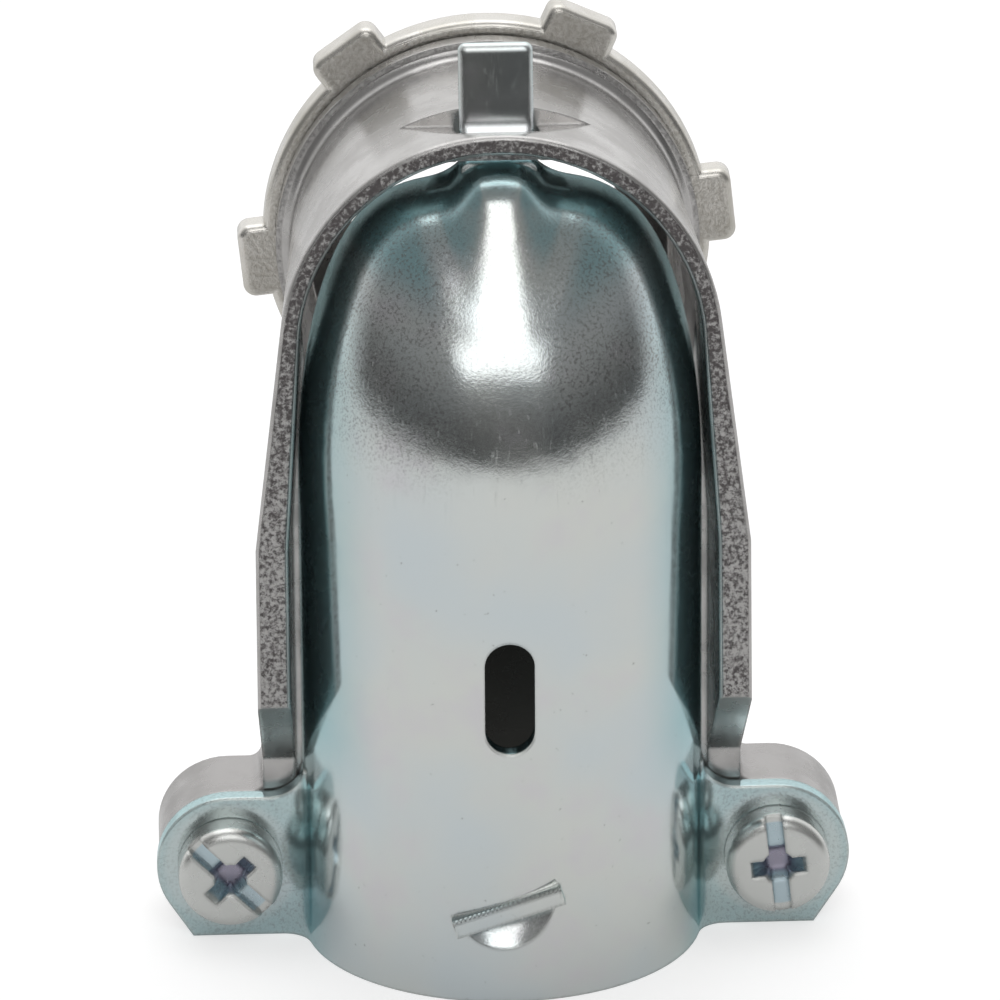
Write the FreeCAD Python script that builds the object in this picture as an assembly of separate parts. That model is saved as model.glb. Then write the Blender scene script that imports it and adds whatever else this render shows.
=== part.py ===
import FreeCAD, Part
import math
import os
from FreeCAD import Vector

# Angled squeeze connector for flexible metal conduit, in millimetres.
# The conduit comes up from below along Z and the threaded neck leaves along +Y.
# The origin is the middle of the conduit mouth, on the plane that the part stands on.

# Conduit grip
GRIP_R = 13.7            # radius of the casting's half of the grip
MOUTH_RELIEF = 0.3       # extra radius at the mouth, where the conduit enters
MOUTH_RELIEF_H = 10.0
STOP_Z = 26.0            # the conduit's end butts against this ledge
STOP_T = 1.6
STOP_REACH = 1.6         # how far the ledge stands into the bore

# Cast body
THROAT_Z = 48.9          # height of the neck's axis
BODY_WALL = 2.1
ARCH_NARROWING = 0.2     # the arch's inside is this much narrower than the strap's tube below its dome
ARCH_WALL = 1.5
LEG_FLARE = 2.0          # the legs' feet stand this much wider than the arch
LEG_WALL = 2.5
LEG_KNEE_DROP = 15.5     # from the neck's axis down to where the leaning legs turn upright
LEG_BOTTOM_Z = 21.1      # front corner of the legs' ends
LEG_FOOT_Z = 14.0        # the ends slope back and down to this height
ARCH_FRONT_Y = -4.5      # front edge at the top of the arch
LEG_FRONT_Y = -7.0       # front edge at the bottom of the legs
CAST_DRAFT = 3.5         # degrees that the arch and collar narrow towards the neck
STRAP_LEDGE_Y = 0.3      # the strap's edges face this ledge inside the legs
SHOULDER_Y = 20.0        # the face that lies against a box wall
SHOULDER_RIM = 1.5
SHOULDER_COVE = 1.1
CAVITY_END_GAP = 3.6     # from the shoulder back to where the inside starts to narrow
THROAT_INSET = 0.1       # from the shoulder back to where it has narrowed to the throat
TRIM_MARGIN = 1.0        # the arch is shaped this far past its front edge and then trimmed

# Threaded neck
THROAT_R = 10.6
NECK_WALL = 1.7          # from the throat to the root of the thread
NECK_LENGTH = 13.0
NECK_CHAMFER = 0.8

# Hook slot in the top of the arch
STRIP_WIDTH = 3.2        # the bar of casting in front of the slot
STRIP_FLAT_W = 7.8       # flat under the bar, where the tongue passes
STRIP_FLAT_DROP = 0.5
POCKET_LENGTH = 8.8      # from the front edge back to the pocket's upright wall
POCKET_DEPTH = 1.7
SLOT_SIDE_GAP = 0.35
SLOT_RAIL_W = 3.2        # thicker casting beside the slot
SLOT_RAIL_T = 2.5

# Clamp ears and screws
SCREW_REACH = 5.7        # from the strap's outside to the screws' axes
SCREW_Z = 5.8
EAR_R = 5.6              # strap ear
BODY_EAR_R = 5.4
BODY_EAR_T = 7.6
BODY_EAR_ROOT_R = 1.0
EAR_CHAMFER = 57.0       # degrees from level of the ears' lower outer corner
EAR_GAP = 0.2            # between the closed ears
SCREW_R = 2.05
SCREW_LENGTH = 12.7
SCREW_FIT = 0.05
EAR_HOLE_GAP = 0.65      # lets the strap swing on the screw
HEAD_R = 4.0
HEAD_H = 2.8
HEAD_SEAT_GAP = 0.05
HEAD_CROWN = 0.9         # rounding of the head's edge
TIP_CHAMFER = 0.6
DRIVE_SLOT_W = 1.3
DRIVE_SLOT_DEPTH = 1.0
DRIVE_CROSS_R = 2.2
DRIVE_CROSS_DEPTH = 1.9
DRIVE_TAPER = 0.35       # the cross narrows to this share at its floor
DRIVE_CORE_R = 1.3       # cone in the middle of the cross
LEFT_DRIVE_TURN = -45.0  # degrees that each driver slot is turned from upright
RIGHT_DRIVE_TURN = -6.0

# Clamp strap
STRAP_T = 1.4
STRAP_EASE = 0.2         # the strap's half of the grip is this much wider than the casting's
SPRING_DROP = 12.0       # from the neck's axis down to where the half tube turns into a dome
DOME_CREST_GAP = 2.3     # from the flat under the bar down to the dome's crest
DOME_SIDE_POWER = 0.52   # below 1 the dome is fuller at its sides than at its front
NOSE_START = 46.0        # degrees up the dome where the tongue's ridge leaves it
NOSE_HALF_WIDTH = 3.6    # sideways from the middle to where the ridge has mostly faded
NOSE_STEEPNESS = 4       # even power: how sharply the ridge's sides fall to the dome
DOME_COLUMNS = 48        # points that carry the dome's surface
DOME_ROWS = 28
DOME_CROWDING = 1.4      # above 1 the columns are closer together at the ridge
TONGUE_NECK_INSET = 0.2  # the dome's neck lies this far inside the tongue's sides
TONGUE_COIN = 0.05       # the tongue is pressed this much thinner on each face
BAR_BACK_GAP = 0.1       # the upward bend starts this far behind the bar
TONGUE_W = 5.6
TONGUE_GAP = 0.6         # between the tongue and the flat under the bar
TONGUE_BEND_R = 2.4      # inner radius of the upward bend
TONGUE_CREST_R = 5.0     # outer radius where the ridge turns level
TAB_RISE = 5.0           # the tab stands this far above the arch
TAB_EDGE_R = 0.6
TAB_LEAN = 12.0          # degrees that the tab leans back
SLOT_W = 3.75            # inspection slot
SLOT_H = 8.9
SLOT_Z = 24.75
NIB_Z = 6.9              # pressed tooth that bites the conduit
NIB_TILT = 18.0
NIB_HALF_WIDTH = 4.3
NIB_HEIGHT = 2.4
NIB_DEPTH = 1.8
NIB_WALL = 1.2
NIB_LIP_H = 1.35         # straight lip above the tooth's cut
NIB_LIP_OUT = 0.65       # it stands this far out of the strap in its middle
NIB_LIP_R = 0.3
EAR_BEND_R = 2.2
EAR_ROOT_R = 2.6

# Locknut
NUT_HUB_WALL = 2.9       # from the thread's root to the rim of the raised hub
NUT_FLANGE = 2.1         # from there to the ring's outside
NUT_LUG_H = 1.9
NUT_LUG_W = 5.8
NUT_LUGS = 6
NUT_TURN = 24.0          # degrees of the first lug from upright
NUT_T = 2.8
NUT_HUB_H = 1.0
NUT_FIT = 0.07
NUT_SEAT_GAP = 0.3
NUT_EDGE_R = 0.6
NUT_CORNER_R = 1.0

# Small edge roundings
CAST_EDGE_R = 0.4

# Beyond every face, for cuts that pass right through
CLEAR = 60.0

# How close edges and seams have to be to count as the same
EDGE_TOLERANCE = 0.01
SEAM_TOLERANCE = 0.002

UP = Vector(0, 0, 1)
BACK = Vector(0, 1, 0)
RIGHT = Vector(1, 0, 0)

# Derived sizes
STRAP_INNER_R = GRIP_R + STRAP_EASE
STRAP_R = STRAP_INNER_R + STRAP_T
TUBE_R = GRIP_R + BODY_WALL
SCREW_X = STRAP_R + SCREW_REACH
ARCH_R = STRAP_R - ARCH_NARROWING + ARCH_WALL
LEG_HALF_WIDTH = ARCH_R + LEG_FLARE
LEG_STRAIGHT_Z = THROAT_Z - LEG_KNEE_DROP
DRAFT = math.tan(math.radians(CAST_DRAFT))
ARCH_TOP_Z = THROAT_Z + ARCH_R
FLAT_Z = ARCH_TOP_Z - ARCH_WALL - STRIP_FLAT_DROP
SLOT_FRONT_Y = ARCH_FRONT_Y + STRIP_WIDTH
POCKET_BACK_Y = ARCH_FRONT_Y + POCKET_LENGTH
TONGUE_TOP_Z = FLAT_Z - TONGUE_GAP
TAB_TOP_Z = ARCH_TOP_Z + TAB_RISE
SPRING_Z = THROAT_Z - SPRING_DROP
DOME_H = FLAT_Z - DOME_CREST_GAP - SPRING_Z
STRAP_EAR_FRONT_Y = -EAR_GAP - STRAP_T
HEAD_SEAT_Y = STRAP_EAR_FRONT_Y - HEAD_SEAT_GAP
NECK_ROOT_R = THROAT_R + NECK_WALL
NUT_FRONT_Y = SHOULDER_Y + NUT_SEAT_GAP
NUT_HUB_R = NECK_ROOT_R + NUT_HUB_WALL
NUT_RING_R = NUT_HUB_R + NUT_FLANGE
NUT_LUG_R = NUT_RING_R + NUT_LUG_H
NECK_END_Y = SHOULDER_Y + NECK_LENGTH


def line(start, end):
    return Part.LineSegment(start, end).toShape()


def arc(start, middle, end):
    return Part.Arc(start, middle, end).toShape()


def face(edges):
    return Part.Face(Part.Wire(edges))


def polygon(points):
    return Part.Face(Part.makePolygon(points + points[:1]))


def side_polygon(points, half_width):
    """A prism across X from an outline of (y, z) points."""
    outline = polygon([Vector(-half_width, y, z) for y, z in points])
    return outline.extrude(RIGHT * (2 * half_width))


def box(x0, x1, y0, y1, z0, z1):
    return Part.makeBox(x1 - x0, y1 - y0, z1 - z0, Vector(x0, y0, z0))


def turned(edges):
    """A solid of revolution about the neck's axis, from edges in the plane x = 0."""
    return face(edges).revolve(Vector(0, 0, THROAT_Z), BACK, 360)


def mirrored(shape):
    return shape.mirror(Vector(0, 0, 0), RIGHT)


def narrowing(y):
    """How much the drafted casting has narrowed at depth y."""
    return (y - ARCH_FRONT_Y) * DRAFT


# Cast body

def arch_outline(radius, half_width, y):
    """Upright outline at depth y: an arch on the neck's axis whose legs lean out to straight feet."""
    reach = math.hypot(half_width, LEG_STRAIGHT_Z - THROAT_Z)
    lean = math.atan2(LEG_STRAIGHT_Z - THROAT_Z, half_width) + math.acos(radius / reach)
    side_x = radius * math.cos(lean)
    side_z = THROAT_Z + radius * math.sin(lean)
    left, right = Vector(-side_x, y, side_z), Vector(side_x, y, side_z)
    left_knee, right_knee = Vector(-half_width, y, LEG_STRAIGHT_Z), Vector(half_width, y, LEG_STRAIGHT_Z)
    left_foot, right_foot = Vector(-half_width, y, 0), Vector(half_width, y, 0)
    return Part.Wire([
        arc(left, Vector(0, y, THROAT_Z + radius), right),
        line(right, right_knee),
        line(right_knee, right_foot),
        line(right_foot, left_foot),
        line(left_foot, left_knee),
        line(left_knee, left),
    ])


def drafted_arch(inset_r, inset_x, y0, y1):
    """The arch's volume from y0 to y1, set in from the outside by the walls given."""
    ends = [
        arch_outline(ARCH_R - inset_r - narrowing(y), LEG_HALF_WIDTH - inset_x - narrowing(y), y)
        for y in (y0, y1)
    ]
    return Part.makeLoft(ends, True, True)


def front_y_at(z):
    """Where the leaning front edge of the arch and its legs lies at a height."""
    return ARCH_FRONT_Y + (LEG_FRONT_Y - ARCH_FRONT_Y) * (ARCH_TOP_Z - z) / (ARCH_TOP_Z - LEG_BOTTOM_Z)


def on_arch_rim(edge):
    """Whether an edge runs along the leaning front of the arch, other than across the legs' ends."""
    ends = [edge.valueAt(p) for p in (edge.FirstParameter, edge.LastParameter)]
    in_front = all(abs(p.y - front_y_at(p.z)) < EDGE_TOLERANCE for p in ends)
    return in_front and any(p.z > LEG_BOTTOM_Z + EDGE_TOLERANCE for p in ends)


def leaning_front():
    """Everything in front of the arch's edge, which leans forward towards the legs' feet."""
    top_z = ARCH_TOP_Z + CLEAR
    outline = [(front_y_at(0), 0), (front_y_at(top_z), top_z), (-CLEAR, top_z), (-CLEAR, 0)]
    return side_polygon(outline, CLEAR)


def collar_outside():
    """Collar, coved shoulder and neck, turned about the neck's axis."""
    rim_y = SHOULDER_Y - SHOULDER_RIM
    cove_y = rim_y - SHOULDER_COVE
    cove_r = ARCH_R - narrowing(cove_y)
    rim_r = cove_r + SHOULDER_COVE
    bulge = SHOULDER_COVE * math.sqrt(0.5)
    outline = [
        (0, 0),
        (0, ARCH_R - narrowing(0)),
        (cove_y, cove_r),
        (rim_y, rim_r),
        (SHOULDER_Y, rim_r),
        (SHOULDER_Y, NECK_ROOT_R),
        (NECK_END_Y - NECK_CHAMFER, NECK_ROOT_R),
        (NECK_END_Y, NECK_ROOT_R - NECK_CHAMFER),
        (NECK_END_Y, 0),
    ]
    points = [Vector(0, y, THROAT_Z + r) for y, r in outline]
    edges = [line(a, b) for a, b in zip(points, points[1:] + points[:1])]
    middle = Vector(0, cove_y + bulge, THROAT_Z + rim_r - bulge)
    edges[2] = arc(points[2], middle, points[3])
    return turned(edges)


def collar_inside():
    """The hollow of the collar, narrowing to the throat."""
    end_y = SHOULDER_Y - CAVITY_END_GAP
    end_r = ARCH_R - ARCH_WALL - narrowing(end_y)
    throat_y = SHOULDER_Y - THROAT_INSET
    outline = [
        (0, 0),
        (0, ARCH_R - ARCH_WALL - narrowing(0)),
        (end_y, end_r),
        (throat_y, THROAT_R),
        (NECK_END_Y + CLEAR, THROAT_R),
        (NECK_END_Y + CLEAR, 0),
    ]
    points = [Vector(0, y, THROAT_Z + r) for y, r in outline]
    return turned([line(a, b) for a, b in zip(points, points[1:] + points[:1])])


def ear_block(radius, root_x, root_r, y0, y1):
    """Right-hand ear from y0 to y1: round about the screw, lower corner cut off, curved in to its root."""
    cut = math.radians(EAR_CHAMFER - 90)
    top_z = SCREW_Z + radius
    bend = root_r * (1 - math.sqrt(0.5))

    def on_ear(angle):
        return Vector(SCREW_X + radius * math.cos(angle), y0, SCREW_Z + radius * math.sin(angle))

    def at(x, z):
        return Vector(x, y0, z)

    low = on_ear(cut)
    corner = at(low.x - low.z / math.tan(math.radians(EAR_CHAMFER)), 0)
    outline = face([
        arc(low, on_ear((cut + math.pi / 2) / 2), at(SCREW_X, top_z)),
        line(at(SCREW_X, top_z), at(root_x + root_r, top_z)),
        arc(at(root_x + root_r, top_z), at(root_x + bend, top_z + bend), at(root_x, top_z + root_r)),
        line(at(root_x, top_z + root_r), at(GRIP_R, top_z + root_r)),
        line(at(GRIP_R, top_z + root_r), at(GRIP_R, 0)),
        line(at(GRIP_R, 0), corner),
        line(corner, low),
    ])
    return outline.extrude(BACK * (y1 - y0))


def on_ear_rim(edge):
    """Whether an edge belongs to the round outline of an ear's front or back face."""
    ends = [edge.valueAt(p) for p in (edge.FirstParameter, edge.LastParameter)]
    flat = abs(ends[0].y - ends[1].y) < EDGE_TOLERANCE
    return flat and all(p.x > SCREW_X - EDGE_TOLERANCE for p in ends) and any(p.z > SCREW_Z for p in ends)


def hook_pocket():
    """Ramp cut behind the arch's front bar, with an upright wall at its back."""
    back_z = THROAT_Z + ARCH_R - narrowing(POCKET_BACK_Y) - POCKET_DEPTH
    top_z = ARCH_TOP_Z + CLEAR
    return side_polygon([
        (ARCH_FRONT_Y + CAST_EDGE_R, ARCH_TOP_Z),
        (POCKET_BACK_Y, back_z),
        (POCKET_BACK_Y, top_z),
        (ARCH_FRONT_Y + CAST_EDGE_R, top_z),
    ], CLEAR)


def slot_half_width():
    return TONGUE_W / 2 + SLOT_SIDE_GAP


def slot_rails():
    """Extra thickness under the front bar and beside the slot, inside the arch."""
    rail_x = slot_half_width() + SLOT_RAIL_W
    rail_z = ARCH_TOP_Z - narrowing(POCKET_BACK_Y) - SLOT_RAIL_T
    back_y = POCKET_BACK_Y + BODY_WALL
    rails = box(-rail_x, rail_x, SLOT_FRONT_Y, back_y, rail_z, ARCH_TOP_Z)
    bar_y = ARCH_FRONT_Y + CAST_EDGE_R
    bar = box(-STRIP_FLAT_W / 2, STRIP_FLAT_W / 2, bar_y, SLOT_FRONT_Y, FLAT_Z, ARCH_TOP_Z)
    return rails.fuse(bar).common(drafted_arch(0, 0, ARCH_FRONT_Y, back_y))


def conduit_stop():
    ring = Part.makeCylinder(GRIP_R + BODY_WALL / 2, STOP_T, Vector(0, 0, STOP_Z), UP, 180)
    return ring.cut(Part.makeCylinder(GRIP_R - STOP_REACH, STOP_T, Vector(0, 0, STOP_Z), UP))


def below_legs():
    """Everything under the legs' sloping ends."""
    corner_y = front_y_at(LEG_BOTTOM_Z)
    slope = [(-CLEAR, LEG_BOTTOM_Z), (corner_y, LEG_BOTTOM_Z), (0, LEG_FOOT_Z)]
    return side_polygon(slope + [(0, -CLEAR), (-CLEAR, -CLEAR)], CLEAR)


def arch_hood():
    """Hollow arch and legs around the strap, with the edges of its leaning front rounded."""
    front_y = LEG_FRONT_Y - TRIM_MARGIN
    back_y = STRAP_LEDGE_Y + BODY_WALL
    inside = drafted_arch(ARCH_WALL, LEG_WALL, front_y, STRAP_LEDGE_Y)
    hood = drafted_arch(0, 0, front_y, back_y).cut([inside, leaning_front(), below_legs()])
    return hood.makeFillet(CAST_EDGE_R, [e for e in hood.Edges if on_arch_rim(e)])


def make_body():
    flange_x = LEG_HALF_WIDTH - narrowing(0)
    ears = ear_block(BODY_EAR_R, flange_x, BODY_EAR_ROOT_R, 0, BODY_EAR_T)
    ears = ears.makeFillet(CAST_EDGE_R, [e for e in ears.Edges if on_ear_rim(e)])
    tube = Part.makeCylinder(TUBE_R, THROAT_Z, Vector(0, 0, 0), UP, 180)
    elbow = collar_outside().fuse([tube, ears, mirrored(ears)])
    elbow = elbow.cut(drafted_arch(ARCH_WALL, LEG_WALL, 0, STRAP_LEDGE_Y))
    tapped = Part.makeCylinder(SCREW_R + SCREW_FIT, CLEAR, Vector(SCREW_X, -CLEAR / 2, SCREW_Z), BACK)
    shell = arch_hood().fuse(elbow).cut([
        Part.makeCylinder(GRIP_R, THROAT_Z, Vector(0, 0, 0), UP),
        Part.makeCylinder(GRIP_R + MOUTH_RELIEF, MOUTH_RELIEF_H, Vector(0, 0, 0), UP),
        collar_inside(),
        tapped,
        mirrored(tapped),
    ])
    half = slot_half_width()
    return shell.fuse([slot_rails(), conduit_stop()]).cut([
        hook_pocket(),
        box(-half, half, SLOT_FRONT_Y, POCKET_BACK_Y, THROAT_Z, ARCH_TOP_Z),
    ]).removeSplitter()


# Clamp strap

def nose_profile(radius, height, top_z, crest_r, reach):
    """Height of the strap's middle line at a distance from the conduit's axis: dome, ridge, then level."""
    start = math.radians(NOSE_START)
    start_r = radius * math.cos(start)
    start_z = SPRING_Z + height * math.sin(start)
    slope = height * math.cos(start) / (radius * math.sin(start))
    rise = math.atan(slope)
    corner_r = start_r - (top_z - start_z) / slope
    run = crest_r * math.tan(rise / 2)
    if reach >= start_r:
        return SPRING_Z + height * math.sqrt(1 - min(1, reach / radius) ** 2)
    if reach >= corner_r + run * math.cos(rise):
        return start_z + (start_r - reach) * slope
    if reach >= corner_r - run:
        return top_z - crest_r + math.sqrt(crest_r ** 2 - (reach - corner_r + run) ** 2)
    return top_z


def dome_point(radius, height, top_z, crest_r, level, around):
    """A point of the dome, level from 0 at its foot to 1 at the neck, around in degrees from the front."""
    turn = math.radians(around)
    power = 1 - (1 - DOME_SIDE_POWER) * math.sin(turn) ** 2
    neck_r = TONGUE_W / 2 - TONGUE_NECK_INSET
    last = math.acos((neck_r / radius) ** (1 / power))
    reach = radius * math.cos(level * last) ** power
    across = reach * math.sin(turn)
    plain = SPRING_Z + height * math.sin(level * last)
    ridge = nose_profile(radius, height, top_z, crest_r, reach)
    fade = math.exp(-(across / NOSE_HALF_WIDTH) ** NOSE_STEEPNESS)
    return Vector(across, -reach * math.cos(turn), plain + (ridge - plain) * fade)


def dome_surface(radius, height, top_z, crest_r):
    rows = []
    for i in range(DOME_COLUMNS + 1):
        share = 2 * i / DOME_COLUMNS - 1
        around = 90 * math.copysign(abs(share) ** DOME_CROWDING, share)
        rows.append([
            dome_point(radius, height, top_z, crest_r, j / DOME_ROWS, around)
            for j in range(DOME_ROWS + 1)
        ])
    surface = Part.BSplineSurface()
    surface.interpolate(rows)
    return surface


def border(surface):
    """The four edges of a surface, in a fixed order."""
    u0, u1, v0, v1 = surface.bounds()
    return [surface.uIso(u).toShape() for u in (u0, u1)] + [surface.vIso(v).toShape() for v in (v0, v1)]


def dome_shell():
    """Domed upper half of the strap, closed from its outer and inner surfaces."""
    outer = dome_surface(STRAP_R, DOME_H, TONGUE_TOP_Z, TONGUE_CREST_R)
    inner = dome_surface(STRAP_INNER_R, DOME_H - STRAP_T, TONGUE_TOP_Z - STRAP_T, TONGUE_CREST_R - STRAP_T)
    rims = [Part.makeRuledSurface(a, b) for a, b in zip(border(outer), border(inner))]
    skin = Part.makeCompound([outer.toShape(), inner.toShape()] + rims)
    skin.sewShape()
    dome = Part.Solid(skin.Shells[0])
    if dome.Volume < 0:
        dome.reverse()
    return dome


def tongue():
    """Level tongue that passes under the bar, bends up through the slot and ends in a tab."""
    top_z = TONGUE_TOP_Z - TONGUE_COIN
    low_z = TONGUE_TOP_Z - STRAP_T + TONGUE_COIN
    thick = top_z - low_z
    bend_y = SLOT_FRONT_Y + BAR_BACK_GAP
    bend_z = top_z + TONGUE_BEND_R
    start_y = -TONGUE_W / 2 - TONGUE_COIN
    outer_r = TONGUE_BEND_R + thick
    lean = math.radians(TAB_LEAN)

    def at(y, z):
        return Vector(-TONGUE_W / 2, y, z)

    def on_bend(radius, angle):
        return at(bend_y + radius * math.cos(angle), bend_z + radius * math.sin(angle))

    half_bend = (-math.pi / 2 - lean) / 2
    front_foot = on_bend(TONGUE_BEND_R, -lean)
    back_foot = on_bend(outer_r, -lean)
    front_top = at(front_foot.y + (TAB_TOP_Z - front_foot.z) * math.tan(lean), TAB_TOP_Z)
    back_top = front_top + back_foot - front_foot
    outline = face([
        line(at(start_y, low_z), at(start_y, top_z)),
        line(at(start_y, top_z), at(bend_y, top_z)),
        arc(at(bend_y, top_z), on_bend(TONGUE_BEND_R, half_bend), front_foot),
        line(front_foot, front_top),
        line(front_top, back_top),
        line(back_top, back_foot),
        arc(back_foot, on_bend(outer_r, half_bend), at(bend_y, low_z)),
        line(at(bend_y, low_z), at(start_y, low_z)),
    ])
    strip = outline.extrude(RIGHT * TONGUE_W)
    return strip.makeFillet(TAB_EDGE_R, [e for e in strip.Edges if on_tab(e)])


def on_tab(edge):
    """Whether an edge of the tongue lies on the upright tab, above the bend."""
    return all(v.Z > TONGUE_TOP_Z + TONGUE_BEND_R / 2 for v in edge.Vertexes)


def inspection_slot():
    half_run = (SLOT_H - SLOT_W) / 2
    ends = [
        Part.makeCylinder(SLOT_W / 2, CLEAR, Vector(0, -CLEAR, SLOT_Z + end), BACK)
        for end in (-half_run, half_run)
    ]
    middle = box(-SLOT_W / 2, SLOT_W / 2, -CLEAR, 0, SLOT_Z - half_run, SLOT_Z + half_run)
    return middle.fuse(ends)


def below_nib_line():
    """Half space under the tooth's slanting cut."""
    block = box(-CLEAR, CLEAR, -CLEAR, 0, NIB_Z - CLEAR, NIB_Z)
    return block.rotate(Vector(0, 0, NIB_Z), BACK, -NIB_TILT)


def nib_cap(extra):
    """Part of a ball below the tooth's cut whose cap is the pressed dish, grown by extra for its far side."""
    rise = (NIB_HALF_WIDTH ** 2 - NIB_HEIGHT ** 2) / (2 * NIB_HEIGHT)
    rim_r = NIB_HEIGHT + rise
    ball_r = (rim_r ** 2 + NIB_DEPTH ** 2) / (2 * NIB_DEPTH)
    tilt = math.radians(NIB_TILT)
    middle = Vector(-rise * math.sin(tilt), NIB_DEPTH - STRAP_R - ball_r, NIB_Z + rise * math.cos(tilt))
    return Part.makeSphere(ball_r + extra, middle).common(below_nib_line())


def nib_tooth():
    """The dish's metal, which stands into the grip."""
    return nib_cap(NIB_WALL).common(Part.makeCylinder(STRAP_R, SPRING_Z, Vector(0, 0, 0), UP))


def nib_lip():
    """Straight lip along the upper side of the tooth's cut, pressed out of the strap."""
    front_y = -STRAP_R - NIB_LIP_OUT
    lip = box(-NIB_HALF_WIDTH, NIB_HALF_WIDTH, front_y, STRAP_T / 2 - STRAP_R, NIB_Z, NIB_Z + NIB_LIP_H)
    edges = [e for e in lip.Edges if all(v.Y < front_y + EDGE_TOLERANCE and v.Z > NIB_Z for v in e.Vertexes)]
    lip = lip.makeFillet(NIB_LIP_R, edges)
    return lip.rotate(Vector(0, 0, NIB_Z), BACK, -NIB_TILT)


def strap_ears():
    """Flat ears that bend out of the half tube through a rounded corner."""
    front_y, back_y = STRAP_EAR_FRONT_Y, -EAR_GAP
    bend_x = math.sqrt((STRAP_R + EAR_BEND_R) ** 2 - (front_y - EAR_BEND_R) ** 2)
    middle = Vector(bend_x, front_y - EAR_BEND_R, 0)
    on_tube = middle * (STRAP_R / (STRAP_R + EAR_BEND_R))
    on_ear = Vector(bend_x, front_y, 0)
    halfway = (on_tube + on_ear) * 0.5 - middle
    halfway = middle + halfway * (EAR_BEND_R / halfway.Length)
    far_x = SCREW_X + EAR_R
    plan = face([
        arc(on_tube, halfway, on_ear),
        line(on_ear, Vector(far_x, front_y, 0)),
        line(Vector(far_x, front_y, 0), Vector(far_x, back_y, 0)),
        line(Vector(far_x, back_y, 0), Vector(STRAP_INNER_R, back_y, 0)),
        line(Vector(STRAP_INNER_R, back_y, 0), on_tube),
    ])
    ear = plan.extrude(UP * THROAT_Z).common(ear_block(EAR_R, STRAP_R, EAR_ROOT_R, -CLEAR, CLEAR))
    hole = Part.makeCylinder(SCREW_R + EAR_HOLE_GAP, CLEAR, Vector(SCREW_X, -CLEAR / 2, SCREW_Z), BACK)
    ear = ear.cut(hole)
    return [ear, mirrored(ear)]


def make_strap():
    half_tube = Part.makeCylinder(STRAP_R, SPRING_Z, Vector(0, 0, 0), UP, 180)
    half_tube = half_tube.rotate(Vector(0, 0, 0), UP, 180)
    bore = Part.makeCylinder(STRAP_INNER_R, SPRING_Z, Vector(0, 0, 0), UP)
    grip = half_tube.fuse(strap_ears()).cut(bore)
    grip = grip.cut(box(-STRAP_R, STRAP_R, -EAR_GAP, CLEAR, 0, SPRING_Z)).removeSplitter()
    dome = dome_shell().cut(box(-STRAP_R, STRAP_R, -EAR_GAP, CLEAR, 0, CLEAR + THROAT_Z))
    strap = grip.fuse([dome, nib_tooth(), nib_lip()], SEAM_TOLERANCE)
    strap = strap.cut([inspection_slot(), nib_cap(0)])
    return strap.fuse(tongue()).removeSplitter()


# Clamp screws

def make_screw(side, turn):
    """Pan head screw through a strap ear into a body ear, with a slotted cross recess."""
    shoulder_y = HEAD_SEAT_Y - HEAD_H + HEAD_CROWN
    tip_y = HEAD_SEAT_Y + SCREW_LENGTH

    def at(radius, y):
        return Vector(radius, y, 0)

    crown_mid = at(HEAD_R - HEAD_CROWN * (1 - math.sqrt(0.5)), shoulder_y - HEAD_CROWN * math.sqrt(0.5))
    outline = [
        line(at(0, HEAD_SEAT_Y - HEAD_H), at(HEAD_R - HEAD_CROWN, HEAD_SEAT_Y - HEAD_H)),
        arc(at(HEAD_R - HEAD_CROWN, HEAD_SEAT_Y - HEAD_H), crown_mid, at(HEAD_R, shoulder_y)),
        line(at(HEAD_R, shoulder_y), at(HEAD_R, HEAD_SEAT_Y)),
        line(at(HEAD_R, HEAD_SEAT_Y), at(SCREW_R, HEAD_SEAT_Y)),
        line(at(SCREW_R, HEAD_SEAT_Y), at(SCREW_R, tip_y - TIP_CHAMFER)),
        line(at(SCREW_R, tip_y - TIP_CHAMFER), at(SCREW_R - TIP_CHAMFER, tip_y)),
        line(at(SCREW_R - TIP_CHAMFER, tip_y), at(0, tip_y)),
        line(at(0, tip_y), at(0, HEAD_SEAT_Y - HEAD_H)),
    ]
    screw = face(outline).revolve(Vector(0, 0, 0), BACK, 360)
    screw = screw.cut(driver_recess().rotate(Vector(0, 0, 0), BACK, turn))
    return screw.translate(Vector(side * SCREW_X, 0, SCREW_Z))


def driver_recess():
    """Straight slot across the head and a tapered cross in its middle."""
    top_y = HEAD_SEAT_Y - HEAD_H
    half = DRIVE_SLOT_W / 2
    slot = box(-half, half, top_y - CLEAR, top_y + DRIVE_SLOT_DEPTH, -CLEAR, CLEAR)
    wings = [cross_wing().rotate(Vector(0, 0, 0), BACK, quarter) for quarter in (0, 90)]
    core_tip = DRIVE_CORE_R * DRIVE_TAPER
    core = Part.makeCone(DRIVE_CORE_R, core_tip, DRIVE_CROSS_DEPTH, Vector(0, top_y, 0), BACK)
    return slot.fuse(wings + [core])


def cross_wing():
    """One tapered blade of the cross, as wide as the recess at the face and pointed below."""
    top_y = HEAD_SEAT_Y - HEAD_H
    deep_y = top_y + DRIVE_CROSS_DEPTH
    half = DRIVE_SLOT_W / 2
    deep = DRIVE_CROSS_R * DRIVE_TAPER
    outline = polygon([
        Vector(-half, top_y - TIP_CHAMFER, -DRIVE_CROSS_R),
        Vector(-half, top_y, -DRIVE_CROSS_R),
        Vector(-half, deep_y, -deep),
        Vector(-half, deep_y, deep),
        Vector(-half, top_y, DRIVE_CROSS_R),
        Vector(-half, top_y - TIP_CHAMFER, DRIVE_CROSS_R),
    ])
    return outline.extrude(RIGHT * DRIVE_SLOT_W)


# Locknut

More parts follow.
